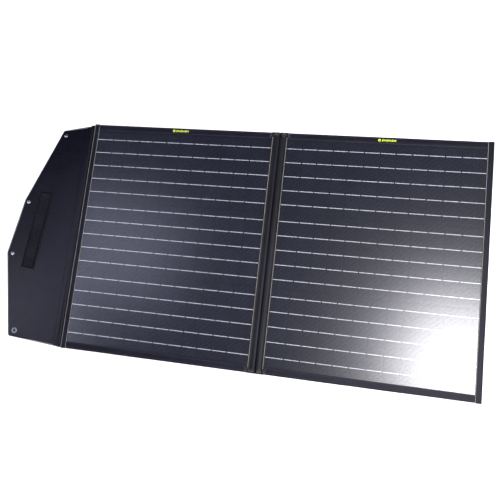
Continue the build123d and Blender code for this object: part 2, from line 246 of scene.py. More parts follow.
KHAKI = thread("khaki_thread", (0.17, 0.167, 0.135), (0.43, 0.425, 0.36))
TACK_THREAD = thread("tack_thread", (0.10, 0.10, 0.09), (0.26, 0.26, 0.24))
BLACK_THREAD = thread("dark_thread", (0.015, 0.015, 0.02), (0.07, 0.07, 0.085))

WEBBING = ribbed("webbing_ribs", (0.010, 0.010, 0.011), (0.04, 0.04, 0.042), 1.6)
ZIP_TAPE = ribbed("zip_tape_ribs", (0.010, 0.010, 0.011), (0.035, 0.035, 0.037), 0.9)
# Hook tape in two looks: the lighter one on the rib tops is a painted highlight, and the darker base in the
# valleys is painted shade.
HOOKS = ribbed("hook_tape_base", (0.002, 0.002, 0.004), (0.005, 0.005, 0.009), 1.2, 0.08, 0.15)
LIT_HOOK_ROWS = ribbed("hook_rows_painted_highlight", (0.009, 0.009, 0.013), (0.022, 0.022, 0.031), 1.2, 0.12, 0.15)

FILM_CELL = laminate_look("film_over_cell", (0.003, 0.0035, 0.007), (0.011, 0.0130, 0.026))
FILM_GAP = laminate_look("film_over_backsheet", (0.003, 0.0033, 0.0065), (0.0095, 0.011, 0.021))


def ribbon_look():
    """Tinned ribbon under the film: bright, with solder marks along it."""
    g = Graph("film_over_ribbon")
    marks = g.noise(300.0)
    g.set(Base_Color=g.mix(g.spread(marks, 0.3, 0.7), (0.28, 0.285, 0.33), (0.50, 0.505, 0.54)))
    g.set(Roughness=g.spread(marks, 0.3, 0.7, 0.35, 0.55), Metallic=0.0)
    g.set(Coat_Weight=1.0, Coat_Roughness=COAT_ROUGHNESS, Coat_IOR=1.5)
    g.bump(marks, 0.03, 0.5)
    return g.material


def coated_look():
    """Smooth coated cloth: the weave just shows through the coating."""
    g = Graph("coated_cloth")
    weave = g.math("MAXIMUM", g.wave(1.1 * MM, "X"), g.wave(1.1 * MM, "Y"))
    broad = g.noise(9.0, 4.0)
    creases = g.noise(55.0)
    g.set(Base_Color=g.mix(g.spread(broad, 0.3, 0.7), (0.0012, 0.0015, 0.0045), (0.003, 0.0035, 0.008)))
    g.set(Roughness=g.spread(g.math("ADD", broad, creases), 0.7, 1.3, 0.26, 0.34))
    g.set(Specular_IOR_Level=0.15)
    height = g.math("ADD", g.math("MULTIPLY", weave, 0.35), creases)
    g.bump(height, 0.06, 0.4)
    return g.material


def label_look():
    g = Graph("label_weave")
    weave = g.math("MAXIMUM", g.wave(0.5 * MM, "X"), g.wave(0.5 * MM, "Y"))
    g.set(Base_Color=g.mix(weave, (0.36, 0.46, 0.015), (0.58, 0.72, 0.03)))
    g.set(Roughness=g.spread(weave, 0, 1, 0.5, 0.7))
    g.bump(weave, 0.05, 0.6)
    return g.material


FILM_RIBBON = ribbon_look()
COATED = coated_look()
LABEL = label_look()

# ---- mesh helpers


def shell(top, bottom, pick=None, keep=None):
    """Closed skin between two grids of points; keep leaves cells of the grid out."""
    rows, cols = top.shape[:2]
    count = rows * cols
    verts = np.concatenate([top.reshape(-1, 3), bottom.reshape(-1, 3)])
    if keep is None:
        keep = np.ones((rows - 1, cols - 1), bool)
    faces, slots = [], []

    def kept(i, j):
        return 0 <= i < rows - 1 and 0 <= j < cols - 1 and keep[i, j]

    for i in range(rows - 1):
        for j in range(cols - 1):
            if not keep[i, j]:
                continue
            slot = 0 if pick is None else int(pick[i, j])
            a = i * cols + j
            b, c, d = a + 1, a + cols + 1, a + cols
            faces += [(a, b, c, d), (count + d, count + c, count + b, count + a)]
            slots += [slot, slot]
            for open_side, p, q in (
                (not kept(i - 1, j), a, b),
                (not kept(i, j + 1), b, c),
                (not kept(i + 1, j), c, d),
                (not kept(i, j - 1), d, a),
            ):
                if open_side:
                    faces.append((q, p, count + p, count + q))
                    slots.append(slot)
    return verts, faces, slots


def loft(rings, closed=False):
    """Skin over a run of rings of points: capped at both ends, or closed on itself."""
    rings = np.asarray(rings, float)
    count, size = rings.shape[:2]
    faces = []
    for s in range(count if closed else count - 1):
        t = (s + 1) % count
        for k in range(size):
            n = (k + 1) % size
            faces.append((s * size + k, s * size + n, t * size + n, t * size + k))
    if not closed:
        faces.append(tuple(range(size)))
        faces.append(tuple(range((count - 1) * size, count * size))[::-1])
    return rings.reshape(-1, 3), faces, [0] * len(faces)


def joined(parts):
    """Several skins as one, keeping the slots of each."""
    verts, faces, slots, start = [], [], [], 0
    for part_verts, part_faces, part_slots in parts:
        verts.append(np.asarray(part_verts))
        faces += [tuple(start + v for v in face) for face in part_faces]
        slots += list(part_slots)
        start += len(part_verts)
    return np.concatenate(verts), faces, slots


def recolour(part, slot):
    verts, faces, slots = part
    return verts, faces, [slot] * len(slots)


def build(name, parts, materials, body, replaces=(), sharp=50, between=None):
    """Makes an object of one or more skins; it rides on a body, or, when between is given, its place is baked
    into its mesh instead.
    """
    verts, faces, slots = joined(parts) if isinstance(parts, list) else parts
    mesh = bpy.data.meshes.new(name)
    mesh.from_pydata([tuple(v) for v in verts], [], faces)
    for material in materials:
        mesh.materials.append(material)
    mesh.polygons.foreach_set("material_index", slots)
    work = bmesh.new()
    work.from_mesh(mesh)
    loose = [v for v in work.verts if not v.link_faces]
    bmesh.ops.delete(work, geom=loose, context="VERTS")
    bmesh.ops.recalc_face_normals(work, faces=work.faces)
    work.to_mesh(mesh)
    work.free()
    mesh.polygons.foreach_set("use_smooth", [True] * len(mesh.polygons))
    mesh.set_sharp_from_angle(angle=math.radians(sharp))
    obj = bpy.data.objects.new(name, mesh)
    bpy.context.scene.collection.objects.link(obj)
    if between:
        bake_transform(obj)
    else:
        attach(obj, body)
    if replaces:
        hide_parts(*replaces)
    return obj


def ripple(x, y, wavelength, seed):
    """Smooth, repeatable unevenness between about -1 and 1; the wavelength is in millimetres."""
    draw = np.random.default_rng(seed)
    total = np.zeros(np.broadcast(x, y).shape)
    turns = 5
    for _ in range(turns):
        angle, phase = draw.uniform(0, 2 * math.pi, 2)
        length = wavelength * MM * draw.uniform(0.6, 1.5)
        along = x * math.cos(angle) + y * math.sin(angle)
        total = total + np.sin(2 * math.pi * along / length + phase)
    return total / turns


def lines(values, spacing):
    """Grid lines through the given values, and between them at this spacing in millimetres."""
    values = sorted(values)
    kept = [values[0]]
    for value in values[1:]:
        if value - kept[-1] < 0.05 * MM:
            continue
        steps = max(1, math.ceil((value - kept[-1]) / (spacing * MM)))
        start = kept[-1]
        kept += [start + (value - start) * k / steps for k in range(1, steps + 1)]
    return np.array(kept)


def bordered(low, high, insets, spacing):
    """Grid lines from low to high, with some these millimetres in from either end."""
    near = [low + inset * MM for inset in insets]
    far = [high - inset * MM for inset in insets]
    return lines([low, *near, *far, high], spacing)


def offsets(first, second, *steps):
    """Pairs of values, each pair some millimetres from the given one."""
    return [(first + a * MM, second + b * MM) for a, b in steps]


def box(node):
    """Low and high corner of a CAD node, as arrays."""
    low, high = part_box(node)
    return np.array(low), np.array(high)


def plan_points(node):
    """The different points of a CAD node, seen in plan."""
    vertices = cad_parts[node].data.vertices
    return np.unique(np.round([(v.co.x, v.co.y) for v in vertices], 6), axis=0)


def islands(node):
    """The box of each separate solid of a CAD node, as arrays (low, high)."""
    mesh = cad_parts[node].data
    points = np.array([v.co for v in mesh.vertices])
    _, same = np.unique(np.round(points, 7), axis=0, return_inverse=True)
    same = same.reshape(-1)
    parent = list(range(same.max() + 1))

    def root(i):
        while parent[i] != i:
            parent[i] = parent[parent[i]]
            i = parent[i]
        return i

    for polygon in mesh.polygons:
        first = root(same[polygon.vertices[0]])
        for v in polygon.vertices[1:]:
            parent[root(same[v])] = first
    groups = {}
    for i, point in zip(same, points):
        groups.setdefault(root(i), []).append(point)
    boxes = [(np.min(g, axis=0), np.max(g, axis=0)) for g in groups.values()]
    return sorted(boxes, key=lambda b: (round(b[0][1], 4), b[0][0]))


def stitches(path, style, up=1, seed=1):
    """A row of sewn stitches along a line of points; each dips into the cloth at its ends."""
    pitch, length, radius = style
    path = np.asarray(path, float)
    steps = np.linalg.norm(np.diff(path, axis=0), axis=1)
    travelled = np.concatenate([[0], np.cumsum(steps)])
    count = max(1, int(travelled[-1] / (pitch * MM)))
    middles = (np.arange(count) + 0.5) * travelled[-1] / count
    draw = np.random.default_rng(seed)
    verts, faces = [], []
    shape = ((-0.5, 0.35, -0.7), (-0.3, 1.0, 0.0), (0.3, 1.0, 0.0), (0.5, 0.35, -0.7))
    sides = 6
    angles = np.arange(sides) * 2 * math.pi / sides

    def at(distance):
        return np.array([np.interp(distance, travelled, path[:, k]) for k in range(3)])

    for middle in middles:
        centre, ahead, behind = at(middle), at(middle + 0.1 * MM), at(middle - 0.1 * MM)
        along = (ahead - behind) / max(np.linalg.norm(ahead - behind), 1e-9)
        lift = np.array([0, 0, up], float)
        across = np.cross(along, lift)
        across /= max(np.linalg.norm(across), 1e-9)
        lift = np.cross(across, along)
        centre = centre + across * draw.normal(0, 0.06 * MM)
        skew = draw.normal(0, 0.05)
        start = len(verts)
        for place, size, drop in shape:
            r = radius * size * MM
            base = centre + along * place * length * MM + across * place * skew * length * MM
            base = base + lift * drop * radius * MM
            for angle in angles:
                verts.append(base + across * math.cos(angle) * r + lift * math.sin(angle) * r * 0.8)
        for ring in range(len(shape) - 1):
            for k in range(sides):
                n = (k + 1) % sides
                a = start + ring * sides
                faces.append((a + k, a + n, a + sides + n, a + sides + k))
        last = start + (len(shape) - 1) * sides
        faces.append(tuple(range(start, start + sides)))
        faces.append(tuple(range(last, last + sides))[::-1])
    return np.array(verts), faces, [0] * len(faces)


def plan_outline(low, high, radius, inset=0.0, steps=5):
    """Rounded rectangle in plan, counter-clockwise, pulled in by the inset."""
    radius = max(radius - inset, 0.2 * MM)
    x0, y0, x1, y1 = low[0] + inset, low[1] + inset, high[0] - inset, high[1] - inset
    corners = ((x1 - radius, y0 + radius, -90), (x1 - radius, y1 - radius, 0))
    corners += ((x0 + radius, y1 - radius, 90), (x0 + radius, y0 + radius, 180))
    points = []
    for cx, cy, start in corners:
        for k in range(steps + 1):
            angle = math.radians(start + 90 * k / steps)
            points.append((cx + radius * math.cos(angle), cy + radius * math.sin(angle)))
    return points


def moulding(low, high, radius, profile):
    """Rounded block from levels of (z, inset), each a rounded rectangle."""
    return loft([[(x, y, z) for x, y in plan_outline(low, high, radius, inset)] for z, inset in profile])


def lathe(centre, profile, segments):
    """Ring of revolution about an upright axis through the centre; the profile is closed."""
    rings = []
    for k in range(segments):
        angle = 2 * math.pi * k / segments
        c, s = math.cos(angle), math.sin(angle)
        rings.append([(centre[0] + r * c, centre[1] + r * s, z) for r, z in profile])
    return loft(rings, closed=True)


def rounded(half_wide, half_tall, wide_power, tall_power, count=24):
    """Points round an ellipse, made squarer by powers below 1."""
    points = []
    for k in range(count):
        angle = 2 * math.pi * k / count
        c, s = math.cos(angle), math.sin(angle)
        wide = half_wide * math.copysign(abs(c) ** wide_power, c)
        points.append((wide, half_tall * math.copysign(abs(s) ** tall_power, s)))
    return points


def grid(xs, ys, z):
    """Grid of points, rows along y and columns along x, at heights z (a number or array)."""
    gx, gy = np.meshgrid(xs, ys)
    return np.stack([gx, gy, np.broadcast_to(z, gx.shape)], axis=-1)


def slab(xs, ys, top, under, pick=None, keep=None):
    """Closed skin over grid lines, between an upper and a lower height."""
    return shell(grid(xs, ys, top), grid(xs, ys, under), pick, keep)


def edge_fall(xs, ys, reach):
    """0 at the border of a grid, rising to 1 within the reach in millimetres, in a quarter round."""
    gx, gy = np.meshgrid(xs, ys)
    near = np.minimum(np.minimum(gx - xs[0], xs[-1] - gx), np.minimum(gy - ys[0], ys[-1] - gy))
    t = np.clip(near / (reach * MM), 0, 1)
    return np.sqrt(1 - (1 - t) ** 2)


def pad(low, high, reach, sag, spacing, seed, waves):
    """Soft slab with a flat top, whose lower side bulges down; measures in millimetres."""
    insets = [reach * k for k in (0.08, 0.3, 0.6, 1.0)]
    xs, ys = bordered(low[0], high[0], insets, spacing), bordered(low[1], high[1], insets, spacing)
    full = edge_fall(xs, ys, reach)
    wobble = sag * MM * (ripple(*np.meshgrid(xs, ys), waves, seed) * 0.5 - 0.5)
    depth = (high[2] - low[2]) * (0.15 + 0.85 * full) + wobble * full
    return slab(xs, ys, high[2], high[2] - depth)


def crossed_tack(x0, x1, y0, y1, z, style):
    """Boxed cross of stitches that holds the end of a webbing."""
    around = [(x0, y0), (x1, y0), (x1, y1), (x0, y1), (x0, y0), (x1, y1)]
    paths = [[(x, y, z) for x, y in around], [(x0, y1, z), (x1, y0, z)]]
    return [stitches(path, style, up=-1) for path in paths]


def wandering_seam(x, end_y, z, stray, points, seeds):
    """Thick khaki seam along Y; it strays sideways by (millimetres, wavelength)."""
    ys = np.linspace(-end_y, end_y, points)
    xs = x + stray[0] * MM * ripple(ys, 0 * ys, stray[1], seeds[0])
    path = np.stack([xs, ys, np.full(points, z)], axis=1)
    return stitches(path, TAPE_STITCH, seed=seeds[1])


# ---- laminate


def laminate(side):
    """Film over the cells: each cell stands up a little, and each ribbon makes a ridge."""
    film_low, film_high = box(f"{side}_front_film")
    ribbon_top = box(f"{side}_ribbons")[1][2]
    cells, ribbons = islands(f"{side}_cells"), islands(f"{side}_ribbons")
    xs, ys = [film_low[0], film_high[0]], [film_low[1], film_high[1]]
    for low, high in cells:
        for inset in (0.0, 0.5, 1.3):
            xs += [low[0] + inset * MM, high[0] - inset * MM]
        for inset in (0.0, 0.7, 1.6):
            ys += [low[1] + inset * MM, high[1] - inset * MM]
    for low, high in ribbons:
        for away in (0.0, 0.35, 1.0):
            ys += [low[1] - away * MM, high[1] + away * MM]
        xs += [low[0], high[0]]
    xs, ys = lines(xs, 16), lines(ys, 11)
    gx, gy = np.meshgrid(xs, ys)
    centre_x, centre_y = (xs[1:] + xs[:-1]) / 2, (ys[1:] + ys[:-1]) / 2
    pick = np.zeros((len(ys) - 1, len(xs) - 1), int)
    cell_rise, ribbon_rise = np.zeros(gx.shape), np.zeros(gx.shape)
    for kind, boxes, rise, soft in ((1, cells, cell_rise, 0.5), (2, ribbons, ribbon_rise, 0.4)):
        for low, high in boxes:
            in_x = (centre_x > low[0]) & (centre_x < high[0])
            in_y = (centre_y > low[1]) & (centre_y < high[1])
            pick[np.ix_(in_y, in_x)] = kind
            inside = np.minimum(gx - low[0], high[0] - gx)
            if kind == 1:
                inside = np.minimum(inside, np.minimum(gy - low[1], high[1] - gy))
            else:
                away = np.maximum(low[1] - gy, gy - high[1])
                inside = np.where(away < 0.01 * MM, inside, -1)
            np.maximum(rise, np.clip(inside / (soft * MM), 0, 1), out=rise)
    sunk, cell_step, ribbon_step, waves = 0.12, 0.006, 0.025, 0.06
    relief = cell_step * cell_rise + ribbon_step * ribbon_rise + waves * ripple(gx, gy, 180, 11)
    skin = slab(xs, ys, film_high[2] + (relief - sunk) * MM, ribbon_top + 0.02 * MM, pick)
    looks = [FILM_GAP, FILM_CELL, FILM_RIBBON]
    build(f"{side}_laminate", skin, looks, f"{side}_panel", [f"{side}_front_film"])


# ---- edge bindings


def binding_profile(w, h):
    """Section of a folded binding of width w and height h, in millimetres.

    Each point is (distance from the outer edge, z).
    """
    front = [(w, h - 0.75), (w - 0.1, h - 0.3), (w - 0.7, h - 0.02), (w - 2.0, h - 0.1)]
    front += [(w - 3.6, h + 0.1), (w * 0.5, h + 0.18), (3.6, h + 0.05), (1.7, h - 0.35)]
    front += [(0.6, h - 1.3), (0.1, h - 2.8), (0.0, h - 4.5), (0.0, 4.0), (0.15, 2.2)]
    rear = [(0.8, 0.8), (2.0, 0.15), (4.0, 0.0), (w * 0.5, 0.0), (w - 3.4, 0.04), (w - 2.1, 0.34)]
    rear += [(w - 1.2, 0.1), (w - 0.5, 0.05), (w - 0.05, 0.3), (w, 0.75)]
    inner = [(w - 0.5, 0.8), (2.4, 0.85), (1.1, 1.7), (0.8, 3.4), (0.8, h - 3.6)]
    inner += [(1.3, h - 2.0), (2.5, h - 1.0), (w - 0.5, h - 0.8)]
    return front + rear + inner


def binding(side, edge, outward, along):
    """Binding swept along one edge of a panel, with slight puffs between its stitches."""
    low, high = box(f"{side}_{edge}_binding")
    outward, along = np.array(outward, float), np.array(along, float)
    width = abs(float((high - low) @ outward)) / MM
    run = abs(float((high - low) @ along))
    height = high[2] / MM
    edge_place = np.where(outward > 0, high, low) * np.abs(outward)
    start = np.where(along != 0, low, 0) * np.abs(along)
    profile = np.array(binding_profile(width, height))
    crown = slice(4, 7)  # the profile's points on top of the front
    end_reach, end_taper = 2.5, 0.035
    sections = bordered(0, run, (0.8, end_reach), 7)
    seed = sum(ord(c) for c in side + edge)
    puff = ripple(sections, 0 * sections, 70, seed) * 0.07
    tuck = (ripple(sections, 0 * sections, 130, seed + 1) + 1) * 0.18
    rings = []
    for s, lift, pull in zip(sections, puff, tuck):
        end = min(s, run - s) / MM
        close = 1 - end_taper * max(0.0, 1 - end / end_reach) ** 2
        u, z = profile[:, 0].copy(), profile[:, 1].copy()
        z[crown] += lift
        u[u < 3.0] += pull
        u = width / 2 + (u - width / 2) * close
        z = height / 2 + (z - height / 2) * close
        ring = edge_place - np.outer(u * MM, outward) + start + along * s
        ring[:, 2] = z * MM
        rings.append(ring)
    return loft(rings)


def rim(side, sign):
    """The three bindings of a panel, with the seams along them."""
    body = f"{side}_panel"
    pieces = []
    along_x, along_y = (1, 0, 0), (0, 1, 0)
    edges = (("top", (0, 1, 0), along_x), ("bottom", (0, -1, 0), along_x), ("side", (sign, 0, 0), along_y))
    for edge, outward, along in edges:
        skin = binding(side, edge, outward, along)
        nodes = [f"{side}_{edge}_binding"]
        pieces.append(build(f"{side}_{edge}_edging", skin, [NYLON], body, nodes))
    top_low, top_high = box(f"{side}_top_binding")
    side_low, side_high = box(f"{side}_side_binding")
    front_z, rear_z = top_high[2] + 0.02 * MM, 0.27 * MM
    dark = []
    for end in (1, -1):
        for inset, lift in ((1.9, 0.0), (11.6, 0.1)):
            y, z = end * (top_low[1] + inset * MM), front_z + lift * MM
            ends = [(top_low[0], y, z), (top_high[0], y, z)]
            dark.append(stitches(ends, EDGE_STITCH, seed=int(50 + inset)))
        y = end * (top_low[1] + 2.0 * MM)
        dark.append(stitches([(top_low[0], y, rear_z), (top_high[0], y, rear_z)], REAR_STITCH, up=-1))
    outer_x = side_high[0] if sign > 0 else side_low[0]
    back_x = outer_x - sign * (side_high[0] - side_low[0] - 2.0 * MM)
    dark.append(stitches([(back_x, side_low[1], rear_z), (back_x, side_high[1], rear_z)], REAR_STITCH, up=-1))
    build(f"{side}_edging_seams", dark, [BLACK_THREAD], body)
    outer_seam = (2.2, 0.30)
    rows = ((13.2, 0.02), outer_seam) if sign < 0 else ((12.7, 0.02),)
    seams = []
    for k, (offset, sink) in enumerate(rows):
        x, z = outer_x - sign * offset * MM, front_z - sink * MM
        seams.append(wandering_seam(x, side_high[1] - 0.8 * MM, z, (0.25, 160), 40, (70 + k, 80 + k)))
    build(f"{side}_tape_seams", seams, [KHAKI], body)
    return pieces


def welt(side, sign):
    """Rolled fabric along the fold, gathered and tacked at both ends."""
    low, high = box(f"{side}_fold_welt")
    near = min(abs(low[0] - fold_x), abs(high[0] - fold_x)) / MM
    top, foot = high[2] / MM, low[2] / MM
    # Points are (distance from the fold, z): up the inner face, over the roll, back below.
    section = [(near + 0.1, foot + 0.8), (near, 6.0), (near + 0.05, 8.0), (near + 0.5, 9.7)]
    section += [(near + 1.6, top - 0.5), (4.0, top), (6.6, top - 0.02), (9.0, top - 0.35)]
    section += [(11.0, top - 0.75), (12.4, top - 0.9), (13.6, top - 0.62), (15.2, top - 0.42)]
    section += [(16.8, top - 0.5), (17.6, top - 0.8), (17.7, top - 1.1), (15.6, top - 1.2)]
    section += [(14.9, top - 2.0), (14.9, foot + 0.8), (14.2, foot), (1.0, foot)]
    section = np.array(section)
    roll, valley = slice(5, 9), slice(8, 11)  # points of the section
    run = high[1] - low[1]
    sections = bordered(0, run, (1.5, 4, 8), 6)
    wave = ripple(sections, 0 * sections, 90, 31 + sign)
    rings = []
    for s, w in zip(sections, wave):
        end = min(s, run - s) / MM
        pinch = math.exp(-((end / 5.0) ** 2))
        d, z = section[:, 0].copy(), section[:, 1].copy()
        upper = z > 8.5
        z[upper] -= 0.7 * pinch * (1 - np.abs(d[upper] - 8) / 14)
        z[roll] -= 0.05 * (1 + w)
        d[valley] += 0.5 * w
        rings.append(np.stack([fold_x + sign * d * MM, np.full(len(d), low[1] + s), z * MM], axis=1))
    body = f"{side}_panel"
    piece = build(f"{side}_welt", loft(rings), [WELT_CLOTH], body, [f"{side}_fold_welt"])
    seam_x, seam_z = fold_x + sign * 15.9 * MM, (top - 0.35) * MM
    seam = wandering_seam(seam_x, high[1] - 11 * MM, seam_z, (sign * 0.25, 150), 50, (41 + sign, 90))
    tacks = []
    tack_rows = ((4.0, 0.35), (7.0, 0.35), (9.5, 0.75), (12.0, 0.75), (18.6, 0.15), (21.5, 0.15))
    for end in (-1, 1):
        for k, (d, sink) in enumerate(tack_rows):
            x, z = fold_x + sign * d * MM, (top - sink) * MM
            outer = end * (high[1] - (1.0 + 0.5 * (k % 2)) * MM)
            inner = end * (high[1] - (9.0 + 1.5 * (k % 3)) * MM)
            tacks.append(stitches([(x, outer, z), (x + 0.3 * MM, inner, z)], TACK_STITCH, seed=k))
    parts = [seam] + [recolour(tack, 1) for tack in tacks]
    build(f"{side}_welt_seams", parts, [KHAKI, TACK_THREAD], body)


# ---- fold, spine and flap


def fold_pieces():
    """Fabric behind the fold and the lead inside it."""
    low, high = box("fold_fabric")
    middle = (low[2] + high[2]) / 2
    xs, ys = lines([low[0], high[0]], 1.5), lines([low[1], high[1]], 12)
    level = middle + 0.15 * MM * ripple(*np.meshgrid(xs, ys), 60, 21)
    skin = slab(xs, ys, level + 0.3 * MM, level - 0.3 * MM)
    ends = ((low[0] + 2 * MM, 0, middle), (high[0] - 2 * MM, 0, middle))
    between = ("left_panel", "right_panel", *ends)
    cloth = build("fold_backing", skin, [LINING], None, ["fold_fabric"], between=between)

    low, high = box("link_lead")
    half, middle = (high - low) / 2, (high + low) / 2
    section = []
    for y, z in rounded(half[1], half[2], 0.5, 0.7, 16):
        flatten = 0.8 + 0.2 * (abs(y) / half[1]) ** 2
        section.append((middle[1] + y, middle[2] + z * flatten))
    rings = [[(x, y, z) for y, z in section] for x in lines([low[0], high[0]], 4)]
    bend = 12 * MM
    between = ("left_panel", "right_panel", (fold_x - bend, 0, 0), (fold_x + bend, 0, 0))
    build("link_strap", loft(rings), [RUBBER], None, ["link_lead"], between=between)


def resample(points, count):
    """This many points, evenly spaced along a line of points in plan."""
    points = np.asarray(points, float)
    gaps = np.linalg.norm(np.diff(points, axis=0), axis=1)
    travelled = np.concatenate([[0], np.cumsum(gaps)])
    wanted = np.linspace(0, travelled[-1], count)
    return np.stack([np.interp(wanted, travelled, points[:, k]) for k in range(2)], axis=1)


def flap_grid():
    """Points over the flap's plan: columns from the spine to the free edge, rows top to bottom."""
    flat = plan_points("flap_inner_skin")
    hull = flat[geometry.convex_hull_2d([Vector(p) for p in flat])]
    root_x = hull[:, 0].max() - 0.01 * MM
    root_top = max((p for p in hull.tolist() if p[0] > root_x), key=lambda p: p[1])
    start = int(np.argmin(np.linalg.norm(hull - root_top, axis=1)))
    hull = np.roll(hull, -start, axis=0)
    if hull[1][0] > root_x:
        hull = np.roll(hull[::-1], 1, axis=0)
    first = int(np.argmax(-0.35 * hull[:, 0] + hull[:, 1]))
    last = int(np.argmax(-0.35 * hull[:, 0] - hull[:, 1]))
    rows, cols = 110, 44
    north, west = resample(hull[: first + 1], cols), resample(hull[first : last + 1], rows)
    south, east = resample(hull[last:], cols)[::-1], resample([hull[0], hull[-1]], rows)
    u = np.linspace(0, 1, cols)[None, :, None]
    v = np.linspace(0, 1, rows)[:, None, None]
    straight = (1 - v) * north[None] + v * south[None] + (1 - u) * east[:, None] + u * west[:, None]
    north_corners = (1 - v) * ((1 - u) * north[0] + u * north[-1])
    south_corners = v * ((1 - u) * south[0] + u * south[-1])
    return straight - north_corners - south_corners


def spine_piece():
    """The spine's cloth, with a raised crest and a crease."""
    edge_x, _, top = box("spine_inner_skin")[1]
    plan = plan_points("spine_inner_skin")
    upper_edge, lower_edge = plan[plan[:, 1] > 0], plan[plan[:, 1] < 0]
    xs = lines([*upper_edge[:, 0], edge_x + 0.25 * MM, edge_x - 7 * MM, edge_x - 11 * MM], 1.2)
    end_high = np.interp(xs, upper_edge[:, 0], upper_edge[:, 1])[None, :]
    end_low = np.interp(xs, lower_edge[:, 0], lower_edge[:, 1])[None, :]
    share = np.linspace(0, 1, 76)[:, None]
    gy = end_low + share * (end_high - end_low)
    gx = np.broadcast_to(xs, gy.shape)
    from_edge = (edge_x - gx) / MM
    crest = 1.5 * np.exp(-(((from_edge - 6.4) / 2.6) ** 2)) * (0.75 + 0.25 * ripple(gx * 0, gy, 200, 51))
    crease = -0.45 * np.exp(-(((from_edge - 11.6) / 1.0) ** 2)) * (1 - 0.6 * share)
    ends = np.clip(np.minimum(gy - end_low, end_high - gy) / (6 * MM), 0, 1)
    relief = crest * (0.3 + 0.7 * ends) + crease + 0.04 * ripple(gx, gy, 30, 52)
    upper = top + (relief - 0.12) * MM
    lower = np.maximum(upper - 1.2 * MM, 0.05 * MM)
    skin = shell(np.stack([gx, gy, upper], axis=-1), np.stack([gx, gy, lower], axis=-1))
    ends = ((edge_x - 0.3 * MM, 0, top / 2), (edge_x - 12.5 * MM, 0, top / 2))
    between = ("left_panel", "flap_spine", *ends)
    nodes = ["spine_inner_skin", "spine_outer_skin"]
    spine = build("spine_cloth", skin, [COATED], None, nodes, between=between)


def flap_piece():
    """The flap's cloth, rounded at its rim and slightly curled at its lower free corner."""
    top = box("spine_inner_skin")[1][2]
    plan = flap_grid()
    gx, gy = plan[:, :, 0], plan[:, :, 1]
    rows, cols = gx.shape
    row_place = np.linspace(0, 1, rows)[:, None]
    col_place = np.linspace(0, 1, cols)[None, :]
    wide, tall = gx.max() - gx.min(), gy.max() - gy.min()
    rim_near = np.minimum(np.minimum(row_place, 1 - row_place) * tall, (1 - col_place) * 120 * MM)
    rim_round = np.clip(rim_near / (1.6 * MM), 0, 1)
    waves = 0.12 * ripple(gx, gy, 150, 61) + 0.05 * ripple(gx, gy, 48, 62)
    corner = np.exp(-(((row_place - 1) / 0.16) ** 2) - (((col_place - 1) / 0.35) ** 2))
    curl = 0.35
    relief = np.minimum(waves + curl * corner - 0.35 * (1 - rim_round) - 0.30, curl)
    upper = top + relief * MM
    lower = np.maximum(upper - 1.0 * MM * (0.45 + 0.55 * rim_round), 0.03 * MM)
    skin = shell(np.stack([gx, gy, upper], axis=-1), np.stack([gx, gy, lower], axis=-1))
    root = gx.max()
    between = ("flap_spine", "flap", (root + 0.25 * MM, 0, top / 2), (root - 4 * MM, 0, top / 2))
    nodes = ["flap_inner_skin", "flap_outer_skin"]
    flap = build("flap_cloth", skin, [COATED], None, nodes, between=between)


def flap_metal():
    """Rolled eyelet ring with its washer, and the three low domed studs with their backs."""
    low, high = box("eyelet")
    foot = box("eyelet_washer")[0][2]
    centre, outer, z = (low[:2] + high[:2]) / 2, (high[0] - low[0]) / 2, high[2]
    bore = EYELET_BORE
    profile = offsets(bore, foot, (0, 0.7)) + offsets(bore, z, (0, -0.5), (0.35, -0.08), (1.2, 0.05))
    profile += offsets(outer, z, (-1.9, -0.12), (-1.5, -0.3), (-1.1, -0.12), (-0.4, -0.25), (0, -0.62))
    profile += offsets(outer, z, (-0.6, -0.8)) + offsets(bore, z, (0.8, -0.8))
    profile += offsets(bore, foot, (0.8, 0.7))
    build("eyelet_ring", lathe(centre, profile, 40), [NICKEL], "flap", ["eyelet"])
    profile = offsets(bore, foot, (0, 0.6), (0, 0.2), (0.5, 0.02))
    profile += offsets(outer, foot, (-0.8, 0.02), (0, 0.35), (-0.2, 0.5))
    profile += offsets(bore, foot, (0.8, 0.6))
    build("eyelet_back", lathe(centre, profile, 40), [NICKEL], "flap", ["eyelet_washer"])

    # Each level is (share of the stud's radius, height in millimetres from its top or foot).
    head_levels = ((0.2, 0), (0.42, -0.06), (0.52, -0.22), (0.58, -0.34), (0.7, -0.3), (0.86, -0.42))
    head_levels += ((0.97, -0.62), (1, -0.85), (0.9, -1.1))
    back_levels = ((0.75, 0.03), (0.95, 0.15), (1, 0.35), (0.9, 0.5))
    tiny = 0.02 * MM
    heads, backs = [], []
    for (low, high), (back_low, _) in zip(islands("studs"), islands("stud_backs")):
        centre, outer, z, foot = (low[:2] + high[:2]) / 2, (high[0] - low[0]) / 2, high[2], back_low[2]
        profile = [(outer * share, z + rise * MM) for share, rise in head_levels]
        heads.append(lathe(centre, [(tiny, z - 0.02 * MM), *profile, (tiny, z - 1.1 * MM)], 40))
        profile = [(outer * share, foot + rise * MM) for share, rise in back_levels]
        backs.append(lathe(centre, [(tiny, foot + 0.02 * MM), *profile, (tiny, foot + 0.5 * MM)], 40))
    build("stud_heads", heads, [STUD_METAL], "flap", ["studs"])
    build("stud_caps", backs, [NICKEL], "flap", ["stud_backs"])


